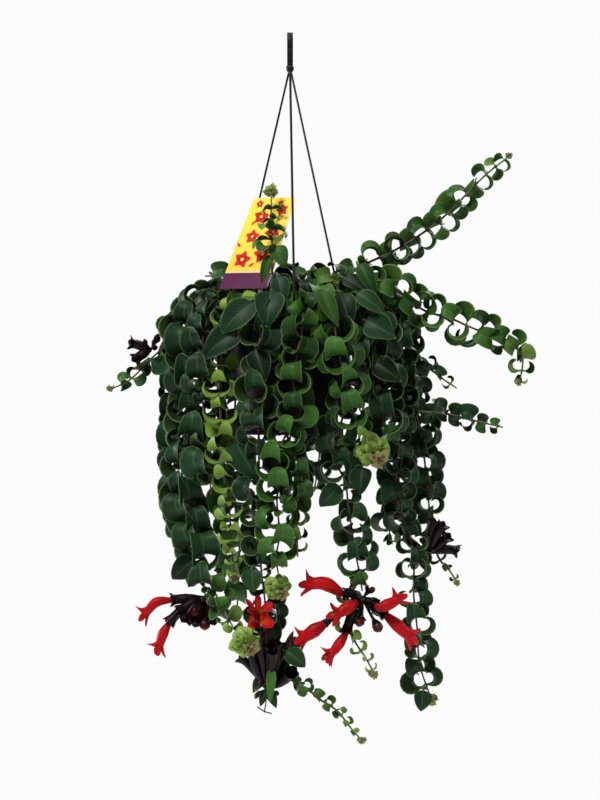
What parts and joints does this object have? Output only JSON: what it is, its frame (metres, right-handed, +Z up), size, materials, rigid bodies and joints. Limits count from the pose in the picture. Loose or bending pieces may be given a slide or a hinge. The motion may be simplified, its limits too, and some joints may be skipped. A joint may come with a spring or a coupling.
{
  "type": "lipstick plant in a hanging pot",
  "caption": "Trailing house plant with rolled leaves and red tube flowers, growing in a plastic pot on a wire-thin hanger with a hook.",
  "frame": {"origin": "the seat inside the hook's bend, where the hook bears on what holds the part up", "axes": "+Z up, -Y towards the side with the front arm and the fuller flower clusters, +X to the right seen from there"},
  "size_m": [0.4971, 0.2962, 0.8292],
  "materials": {
    "hanger_plastic": "moulded plastic, satin, near black",
    "pot_plastic": "moulded plastic, satin, charcoal with a blue cast",
    "soil": "moist peat compost, rough",
    "tag": "printed plastic sheet, satin, yellow over plum",
    "leaf": "waxy dark green leaf with a pale rim and paler underside",
    "leaf_bright": "waxy mid green leaf with a pale rim",
    "leaf_young": "soft lime green young leaf",
    "sheath": "fleshy, near black maroon, satin",
    "petal": "velvety scarlet with an orange throat"
  },
  "bodies": {
    "root": {"hanger_hook": "hanger_plastic", "hanger_arm_front": "hanger_plastic", "hanger_arm_right": "hanger_plastic", "hanger_arm_left": "hanger_plastic", "pot": "pot_plastic", "saucer": "pot_plastic", "label": "tag", "sheaths_left": "sheath", "flower_left_1": "petal", "flower_left_2": "petal", "sheaths_right": "sheath", "flower_right_1": "petal", "flower_right_2": "petal", "flower_right_3": "petal", "flower_right_4": "petal", "flower_right_5": "petal", "flower_right_6": "petal", "sheaths_front": "sheath", "flower_front_1": "petal", "sheaths_outer_right": "sheath", "sheaths_outer_left": "sheath", "rosette_centre": "leaf_young", "rosette_right": "leaf_young", "rosette_left": "leaf_young", "rosette_label": "leaf_young", "stem_front_centre": "leaf_bright", "stem_upper_right": "leaf", "stem_right_arm": "leaf", "stem_right_long": "leaf", "stem_left_long": "leaf", "stem_front_left": "leaf", "stem_right_flower": "leaf", "stem_right_front": "leaf_bright", "stem_lime": "leaf_young", "stem_right_outer": "leaf", "stem_left_outer": "leaf", "stem_left_inner": "leaf", "stem_right_middle": "leaf", "stem_label_shoot": "leaf", "shoot_crown_right": "leaf_bright", "shoot_crown_left": "leaf", "shoot_crown_centre": "leaf", "shoot_crown_back": "leaf", "stem_back_1": "leaf", "stem_back_2": "leaf_bright", "stem_back_3": "leaf", "stem_back_4": "leaf", "stem_back_5": "leaf_bright", "stem_back_6": "leaf", "stem_back_7": "leaf", "soil": "soil"}
  },
  "joints": []
}
